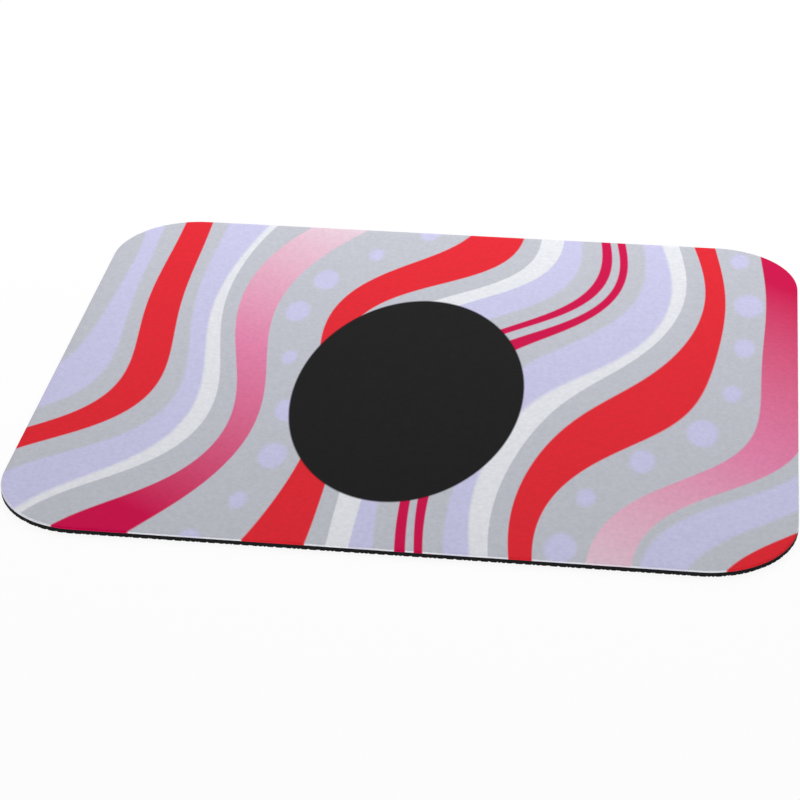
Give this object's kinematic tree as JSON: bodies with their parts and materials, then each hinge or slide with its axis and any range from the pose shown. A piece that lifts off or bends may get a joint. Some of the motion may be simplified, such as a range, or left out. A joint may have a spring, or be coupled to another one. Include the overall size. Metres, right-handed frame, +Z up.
{
  "type": "mouse pad",
  "caption": "Flat mouse pad with rounded corners: printed knitted cloth bonded by a thin film to a black foam rubber base that grips the desk.",
  "frame": {"origin": "middle of the underside, on the desk", "axes": "+X along the long side towards the user's right, +Y away from the user, +Z up out of the cloth face"},
  "size_m": [0.24, 0.2, 0.002],
  "materials": {
    "printed_cloth": "matte",
    "adhesive_film": "satin",
    "foam_rubber": "matte"
  },
  "bodies": {
    "root": {"foam_rubber_base": "foam_rubber", "bonding_film": "adhesive_film", "printed_cloth_face": "printed_cloth"}
  },
  "joints": []
}
